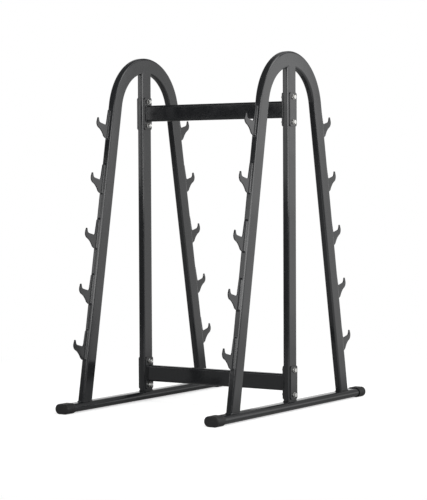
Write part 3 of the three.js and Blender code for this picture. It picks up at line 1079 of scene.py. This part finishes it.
def weld_tree():
    tree, inputs = start_tree("weld_bead", Radius="Float", Ripple="Float", Pinch="Float", Wander="Float",
                              Finish="Material")
    line = add_node(tree, "GeometryNodeMeshToCurve", {"Mesh": inputs["Geometry"]})
    step = add_node(tree, "ShaderNodeMath", {0: inputs["Ripple"], 1: RIPPLE_STEPS}, operation="DIVIDE")
    even = add_node(tree, "GeometryNodeResampleCurve", {
        "Curve": line.outputs[0], "Length": step.outputs[0]}, mode="LENGTH")
    along = add_node(tree, "GeometryNodeSplineParameter").outputs["Length"]
    count = add_node(tree, "ShaderNodeMath", {0: along, 1: inputs["Ripple"]}, operation="DIVIDE")
    phase = add_node(tree, "ShaderNodeMath", {0: count.outputs[0]}, operation="FRACT")
    pinched = add_node(tree, "ShaderNodeMath", {0: phase.outputs[0], 1: inputs["Pinch"]},
                       operation="MULTIPLY")
    place = add_node(tree, "GeometryNodeInputPosition").outputs[0]
    drift = add_node(tree, "ShaderNodeTexNoise", {
        "Vector": place, "Scale": features_of(WANDER_LENGTH), "Detail": 1.0})
    wander = add_node(tree, "ShaderNodeMath", {0: drift.outputs["Fac"], 1: inputs["Wander"]},
                      operation="MULTIPLY")
    loss = add_node(tree, "ShaderNodeMath", {0: pinched.outputs[0], 1: wander.outputs[0]}, operation="ADD")
    share = add_node(tree, "ShaderNodeMath", {0: 1.0, 1: loss.outputs[0]}, operation="SUBTRACT")
    size = add_node(tree, "ShaderNodeMath", {0: share.outputs[0], 1: inputs["Radius"]}, operation="MULTIPLY")
    circle = add_node(tree, "GeometryNodeCurvePrimitiveCircle", {"Resolution": BEAD_POINTS, "Radius": 1.0})
    bead = add_node(tree, "GeometryNodeCurveToMesh", {
        "Curve": even.outputs[0], "Profile Curve": circle.outputs[0], "Scale": size.outputs[0],
        "Fill Caps": True})
    end_tree(tree, bead.outputs[0], inputs["Finish"])
    return tree


WELD_TREE = weld_tree()
print("weld tree:", len(WELD_TREE.nodes), "nodes")

# %% [markdown]
# The bead's middle lies a little outside the corner, so about a third of the rope shows. Each joint gives
# a closed path: round a tube's foot, round a post's top and round a beam's end.

# %% Trace the joints
BEAD = mm(3.4)
PROUD = 0.3 * BEAD
TRACE_STEPS = 5


def foot_weld(side, middle, length):
    """Path round a tube's foot on the floor tube."""
    outline = rounded_box(TUBE_DEPTH + 2 * PROUD, length + 2 * PROUD, TUBE_CORNER + PROUD, TRACE_STEPS)
    return [(side * FRAME_SPACING / 2 + x, middle + y, BASE_TOP + PROUD) for x, y in outline]


def arch_weld(side):
    """Path round the top of a post, in the corner under the arch. At its sides it stays inside the tube."""
    reach = ARCH_RADIUS - TUBE_WIDTH / 2 - PROUD
    depth = TUBE_DEPTH - 2 * (BEAD + PROUD)
    outline = rounded_box(depth, TUBE_WIDTH + 2 * PROUD, TUBE_CORNER, TRACE_STEPS)
    return [(side * FRAME_SPACING / 2 + x, y, ARCH_CENTRE + math.sqrt(reach ** 2 - y ** 2))
            for x, y in outline]


def beam_weld(side, level):
    """Path round a beam's end, on the face of its flange plate."""
    outline = rounded_box(BEAM_DEPTH + 2 * PROUD, BEAM_HEIGHT + 2 * PROUD, BEAM_CORNER + PROUD, TRACE_STEPS)
    return [(side * (BEAM_LENGTH / 2 - PROUD), y, level + z) for y, z in outline]


print("path round a post's foot:", len(foot_weld(1, 0, TUBE_WIDTH)), "points")


# %% [markdown]
# The seams round the hooks are wider, and their section is hollowed, because a hook carries a loaded bar. A
# round bead can't be hollowed, so a seam is built from rings: each is a rounded box round the hook's root,
# narrower and higher than the last. One seam is made and copied to all twenty hooks.

# %% A seam's sizes, and helpers that draw its rings
SEAM_WIDTH = mm(10)
SEAM_HEIGHT = mm(8)
SEAM_SINK = mm(0.4)
SEAM_ROOT_CORNER = mm(1)
SEAM_CORNER_STEPS = 6
SEAM_LENGTH = (HOOK_RISE + HOOK_DROP) / math.cos(LEG_TILT)
SEAM_MIDDLE = (HOOK_RISE - HOOK_DROP) / 2 / math.cos(LEG_TILT)
SEAM_RINGS = 8
SEAM_POINTS = 300
SEAM_RIPPLES = 75
SEAM_PINCH = 0.08


def spaced(outline, count):
    """The same closed outline, with its points evenly spaced."""
    corners = [Vector(corner) for corner in outline]
    sides = list(zip(corners, corners[1:] + corners[:1]))
    step = sum((end - start).length for start, end in sides) / count
    points = []
    travelled = 0
    for start, end in sides:
        length = (end - start).length
        while len(points) < count and len(points) * step < travelled + length:
            points.append(start.lerp(end, (len(points) * step - travelled) / length))
        travelled += length
    return points


def seam_ring(turn):
    """Points of one ring, on the leaning face of a leg."""
    aside = SEAM_WIDTH * (1 - math.sin(turn)) - SEAM_SINK
    corner = max(aside, 0) + SEAM_ROOT_CORNER
    outline = rounded_box(HOOK_THICKNESS + 2 * aside, SEAM_LENGTH + 2 * aside, corner, SEAM_CORNER_STEPS)
    points = []
    for number, (x, along) in enumerate(spaced(outline, SEAM_POINTS)):
        pinch = 1 - SEAM_PINCH * math.sin(math.pi * SEAM_RIPPLES * number / SEAM_POINTS) ** 2
        above = SEAM_HEIGHT * (1 - math.cos(turn)) * pinch - notch(x)
        out = above * math.cos(LEG_TILT) - (along + SEAM_MIDDLE) * math.sin(LEG_TILT)
        up = above * math.sin(LEG_TILT) + (along + SEAM_MIDDLE) * math.cos(LEG_TILT)
        points.append((x, out, up))
    return points


print("a seam runs", round(1000 * SEAM_LENGTH), "mm along the leg")


# %% Make one hook seam and copy it
def seam_body():
    """A seam that closes against the leg and inside the hook."""
    body = bmesh.new()
    rings = [[body.verts.new(point) for point in seam_ring(turn)] for turn in quarter_turn(SEAM_RINGS)]
    for low, high in zip(rings, rings[1:]):
        for here in range(SEAM_POINTS):
            body.faces.new((low[here - 1], low[here], high[here], high[here - 1]))
    body.faces.new(rings[0][::-1])
    body.faces.new(rings[-1])
    bmesh.ops.triangulate(body, faces=[face for face in body.faces if len(face.verts) > 4])
    return body


seam_master = keep(seam_body(), "seam_master", POWDER_COAT)
welds = {}
for leg, (side, face) in LEGS.items():
    name = leg + "_hook_seams"
    welds[name] = set_copies(name, seam_master, hook_places(side, face), POWDER_COAT)
bpy.data.objects.remove(seam_master)

# %% [markdown]
# The other joints get the plain bead: the feet of the legs and of the post, the post's top, and the ends
# of the two beams. All the beads of a side are one piece. A leg leans, so its foot is longer than the tube
# is wide.

# %% Lay the beads
BEAD_RIPPLE = mm(4)
BEAD_PINCH = 0.1
BEAD_WANDER = 0.3
LEG_FOOT = TUBE_WIDTH / math.cos(LEG_TILT)
LEG_MIDDLE = leg_face(BASE_TOP) - LEG_FOOT / 2

for side_name, side in SIDES.items():
    paths = [foot_weld(side, face * LEG_MIDDLE, LEG_FOOT) for face in FACES.values()]
    paths += [foot_weld(side, 0, TUBE_WIDTH), arch_weld(side)]
    paths += [beam_weld(side, level) for level in BEAM_LEVELS.values()]
    name = side_name + "_weld_beads"
    mesh = grow(rows_of_points(name, paths, closed=True), WELD_TREE, Radius=BEAD, Ripple=BEAD_RIPPLE,
                Pinch=BEAD_PINCH, Wander=BEAD_WANDER, Finish=POWDER_COAT)
    welds[name] = keep(edit(mesh), name, POWDER_COAT)

# %% [markdown]
# ## Handing the pieces over
#
# Nothing on the rack moves, so every piece rides on its one body, and the measured solids that it stands for
# are hidden.

# %% Tie every piece to the rack
def stand_for(piece, finish_slot, *nodes):
    """Ties a piece to the rack's body and hides the measured solids that it takes the place of; finish_slot
    is not used.
    """
    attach(piece, "root")
    if nodes:
        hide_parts(*nodes)


for side_name in SIDES:
    stand_for(frame_tubes[side_name], "powder_coat", side_name + "_arch_tube")
    stand_for(centre_posts[side_name], "powder_coat", side_name + "_upright")
    stand_for(floor_tubes[side_name], "powder_coat", side_name + "_base_tube")
    for kind in ("bolt", "nut"):
        nodes = [f"{side_name}_{level}_{kind}_{number}" for level in BEAM_LEVELS for number in (1, 2)]
        stand_for(fasteners[f"{side_name}_{kind}_set"], "zinc_plate", *nodes)
for name, piece in crossbeams.items():
    stand_for(piece, "powder_coat", name + "_crossbeam")
for name, piece in boots.items():
    stand_for(piece, "rubber", name + "_boot")
for name, piece in plates.items():
    stand_for(piece, "powder_coat", name)
for name, piece in hook_rows.items():
    stand_for(piece, "powder_coat", *[f"{name}_{number + 1}" for number in range(HOOK_COUNT)])
for piece in welds.values():
    stand_for(piece, "powder_coat")


# %% [markdown]
# ## Studio
#
# The rack stands on a pale floor in front of nothing: product pictures of dark steel are lit by large soft
# lamps and by what the paint mirrors. The floor fades into plain white before its edge, for the camera
# only, and keeps the soft shadow under the rack. The paint mirrors a grey floor with a painted glow on it:
# a painted pool of light that turns it white towards the right, where a lamp would light it.

# %% Floor
FLOOR_HALF = 3
FLOOR_GLOW = 0.58
FADE_START = 1.1
FADE_END = 2.6
# Where the painted glow on the floor, seen only in reflections, starts and ends, and its largest share of
# white.
PAINTED_GLOW_START = 0.5
PAINTED_GLOW_END = 1.1
PAINTED_GLOW_SHARE = 0.8


def floor_material():
    """Matt white studio floor that turns into plain white away from the object; in reflections it is grey,
    with a painted glow towards the right.
    """
    material, tree, place = start_material("studio_floor")
    matt = add_node(tree, "ShaderNodeBsdfDiffuse", {"Color": colour("#cfcfcf")})
    glow = add_node(tree, "ShaderNodeEmission", {"Color": colour("#ffffff"), "Strength": FLOOR_GLOW})
    lit = add_node(tree, "ShaderNodeAddShader", {0: matt.outputs[0], 1: glow.outputs[0]})
    white = add_node(tree, "ShaderNodeEmission", {"Color": colour("#ffffff"), "Strength": 1.0})
    away = add_node(tree, "ShaderNodeVectorMath", {0: place}, operation="LENGTH")
    fade = add_node(tree, "ShaderNodeMapRange", {
        "Value": away.outputs["Value"], "From Min": FADE_START, "From Max": FADE_END})
    seen = add_node(tree, "ShaderNodeMixShader", {
        0: fade.outputs["Result"], 1: lit.outputs[0], 2: white.outputs[0]})
    rays = add_node(tree, "ShaderNodeLightPath").outputs
    # Painted light: reflections see a painted glow that grows towards the right, a painted pool of light on
    # the grey floor.
    across = add_node(tree, "ShaderNodeSeparateXYZ", {"Vector": place}).outputs["X"]
    mirrored_white_share = add_node(tree, "ShaderNodeMapRange", {
        "Value": across, "From Min": PAINTED_GLOW_START, "From Max": PAINTED_GLOW_END,
        "To Min": 0.0, "To Max": PAINTED_GLOW_SHARE})
    clear = add_node(tree, "ShaderNodeMath", {
        0: rays["Is Glossy Ray"], 1: rays["Is Transmission Ray"]}, operation="MAXIMUM")
    painted_glow_share = add_node(tree, "ShaderNodeMath", {0: mirrored_white_share.outputs[0], 1: clear.outputs[0]},
                      operation="MULTIPLY")
    grey = add_node(tree, "ShaderNodeBsdfDiffuse", {"Color": colour("#a8a8a8")})
    mirrored = add_node(tree, "ShaderNodeMixShader", {
        0: painted_glow_share.outputs[0], 1: grey.outputs[0], 2: white.outputs[0]})
    surface = add_node(tree, "ShaderNodeMixShader", {
        0: rays["Is Camera Ray"], 1: mirrored.outputs[0], 2: seen.outputs[0]})
    add_node(tree, "ShaderNodeOutputMaterial", {"Surface": surface.outputs[0]})
    return material


floor_mesh = bpy.data.meshes.new("floor")
floor_corners = [(x * FLOOR_HALF, y * FLOOR_HALF, 0) for x, y in ((-1, -1), (1, -1), (1, 1), (-1, 1))]
floor_mesh.from_pydata(floor_corners, [], [(0, 1, 2, 3)])
floor_mesh.materials.append(floor_material())
floor = new_object("floor", floor_mesh)
print("floor:", 2 * FLOOR_HALF, "m square")

# %% [markdown]
# The camera sees white all round. Reflections see the white paper that hangs behind the rack, and the dark
# room in front of it and above: a glossy black tube is drawn by that contrast. Light itself comes softly
# and evenly from everywhere, so that colours come out about as they are written.

# %% World
DARK_ROOM = 0.11
FILL = 0.6
PAPER_EDGE = (-0.35, -0.05)
PAPER_FOOT_AND_TOP = ((0.12, 1.0), (0.85, 0.0))
PAPER_BETWEEN = ((0.25, 0.32), (0.5, 0.28))

world = bpy.data.worlds.new("white_studio")
world.use_nodes = True
world.node_tree.nodes.clear()
bpy.context.scene.world = world
studio = world.node_tree
rays = add_node(studio, "ShaderNodeLightPath").outputs
heading = add_node(studio, "ShaderNodeSeparateXYZ", {
    "Vector": add_node(studio, "ShaderNodeTexCoord").outputs["Generated"]}).outputs
behind = add_node(studio, "ShaderNodeMapRange", {
    "Value": heading["Y"], "From Min": PAPER_EDGE[0], "From Max": PAPER_EDGE[1]})
height = add_node(studio, "ShaderNodeValToRGB", {"Fac": heading["Z"]})
for stop, (place, share) in zip(height.color_ramp.elements, PAPER_FOOT_AND_TOP):
    stop.position = place
    stop.color = (share, share, share, 1)
for place, share in PAPER_BETWEEN:
    height.color_ramp.elements.new(place).color = (share, share, share, 1)
mirrored_white_share = add_node(studio, "ShaderNodeMath", {0: behind.outputs[0], 1: height.outputs[0]}, operation="MULTIPLY")
seen = add_node(studio, "ShaderNodeMath", {
    0: rays["Is Camera Ray"], 1: rays["Is Transmission Ray"]}, operation="MAXIMUM")
fill = add_node(studio, "ShaderNodeBackground", {"Color": colour("#ffffff"), "Strength": FILL})
room = add_node(studio, "ShaderNodeBackground", {"Color": colour("#ffffff"), "Strength": DARK_ROOM})
white = add_node(studio, "ShaderNodeBackground", {"Color": colour("#ffffff"), "Strength": 1.0})
mirrored = add_node(studio, "ShaderNodeMixShader", {
    0: mirrored_white_share.outputs[0], 1: room.outputs[0], 2: white.outputs[0]})
lit = add_node(studio, "ShaderNodeMixShader", {
    0: rays["Is Glossy Ray"], 1: fill.outputs[0], 2: mirrored.outputs[0]})
chosen = add_node(studio, "ShaderNodeMixShader", {0: seen.outputs[0], 1: lit.outputs[0], 2: white.outputs[0]})
add_node(studio, "ShaderNodeOutputWorld", {"Surface": chosen.outputs[0]})
print("world:", len(studio.nodes), "nodes")

# %% [markdown]
# Soft lamps do the rest. Three on the right light the round corners of the tubes and the tops of the
# arches. Three at the back right are mirrored by the broad sides of the tubes. Four at the front are
# mirrored by the leaning front legs and by the faces that look forward. One far off at the front right and
# one overhead fill in.
#
# Where a reflection has to grow brighter upwards, a lamp is a stack of two or three that start at different
# heights. The lamps of a stack hang 5 to 7 cm apart, because lamps in one plane hide each other.

# %% Lamps
def softbox(name, place, target, width, height, radiance):
    """A soft area lamp of a given brightness, as a share of white."""
    lamp = bpy.data.lights.new(name, "AREA")
    lamp.shape = "RECTANGLE"
    lamp.size = width
    lamp.size_y = height
    lamp.energy = radiance * math.pi * width * height
    holder = bpy.data.objects.new(name, lamp)
    holder.location = place
    holder.rotation_euler = (Vector(target) - Vector(place)).to_track_quat("-Z", "Y").to_euler()
    holder.visible_camera = False
    bpy.context.scene.collection.objects.link(holder)


# Each lamp's place, the point it faces, its width and height, and its brightness.
SOFTBOXES = {
    "key": ((2.9, -1.9, 1.65), (0, 0, 1.2), 2.2, 1.5, 4.2),
    "high_right": ((2.35, 1.1, 3.1), (0, 0, 1.6), 1.3, 1.5, 3.0),
    "side": ((3.4, 0.3, 1.65), (0, 0.3, 1.65), 2.6, 1.5, 1.8),
    "back_right": ((3.15, 2.65, 1.58), (0, -0.5, 1.58), 2.3, 2.84, 0.22),
    "back_right_middle": ((3.2, 2.7, 2.0), (0, -0.5, 2.0), 2.3, 2.2, 0.25),
    "back_right_top": ((3.25, 2.75, 2.1), (0, -0.5, 2.1), 2.3, 1.6, 0.2),
    "front_left": ((-3.68, -3.65, 1.765), (-2.78, 0, 1.765), 1.25, 1.39, 1.9),
    "front_left_high": ((-3.67, -3.6, 1.98), (-2.77, 0, 1.98), 1.25, 0.9, 0.8),
    "front": ((-0.2, -4.1, 1.765), (-0.2, 0, 1.765), 5.7, 1.39, 1.05),
    "front_high": ((-0.2, -4.05, 1.98), (-0.2, 0, 1.98), 5.7, 0.9, 0.75),
    "front_right": ((4.6, -6.6, 2.4), (0, 0, 1.2), 4.2, 1.4, 2.4),
    "top": ((1.0, 0.9, 3.3), (0, 0, 0.5), 1.8, 1.8, 0.8),
}

for name, settings in SOFTBOXES.items():
    softbox(name + "_softbox", *settings)
print("lamps:", len(SOFTBOXES))

# %% [markdown]
# The upper beam is nearly black in the picture, though the front lamps are in line to be mirrored by it. A
# studio keeps a lamp off one surface with a black card, and so does this one. Only reflections see the
# card, so it throws no shadow. The beam itself is kept out of the reflections on the posts and arches,
# which show none of it.

# %% Hang the black card
CARD_CORNERS = [(-1.0, 1.415), (-0.11, 1.415), (-0.11, 1.53), (-1.0, 1.53)]
CARD_PLACE = -0.87

card_mesh = bpy.data.meshes.new("black_card")
card_mesh.from_pydata([(x, CARD_PLACE, z) for x, z in CARD_CORNERS], [], [(0, 1, 2, 3)])
felt, felt_tree, _ = start_material("black_card")
felt_surface = add_node(felt_tree, "ShaderNodeBsdfDiffuse", {"Color": colour("#060606")})
add_node(felt_tree, "ShaderNodeOutputMaterial", {"Surface": felt_surface.outputs[0]})
card_mesh.materials.append(felt)
card = new_object("black_card", card_mesh)
card.visible_camera = False
card.visible_diffuse = False
card.visible_transmission = False
card.visible_shadow = False
crossbeams["upper"].visible_glossy = False
print("black card spans", CARD_CORNERS[0], "to", CARD_CORNERS[2])


# %% [markdown]
# ## Camera
#
# A long lens from front right, a little above the middle of the rack. Its place and angles were solved from
# the picture's own straight lines, so they are numbers and not a look-at target.

# %% Camera
SENSOR_WIDTH = 36
LENS = 127.457
YAW_PITCH_ROLL = (33.3775, 2.2002, -0.2637)
CAMERA_PLACE = (4.73810, -7.20936, 1.08947)

camera_data = bpy.data.cameras.new("camera")
camera_data.sensor_width = SENSOR_WIDTH
camera_data.lens = LENS
yaw, pitch, roll = (math.radians(angle) for angle in YAW_PITCH_ROLL)
ahead = Vector((-math.sin(yaw) * math.cos(pitch), math.cos(yaw) * math.cos(pitch), -math.sin(pitch)))
level = Vector((math.cos(yaw), math.sin(yaw), 0))
upward = level.cross(ahead)
right = math.cos(roll) * level + math.sin(roll) * upward
above = math.cos(roll) * upward - math.sin(roll) * level
camera = bpy.data.objects.new("camera", camera_data)
turned = Matrix((right, above, -ahead)).transposed().to_4x4()
camera.matrix_world = Matrix.Translation(CAMERA_PLACE) @ turned
bpy.context.scene.collection.objects.link(camera)
bpy.context.scene.camera = camera
bpy.context.scene.view_settings.view_transform = "Standard"
print("lens:", LENS, "mm")
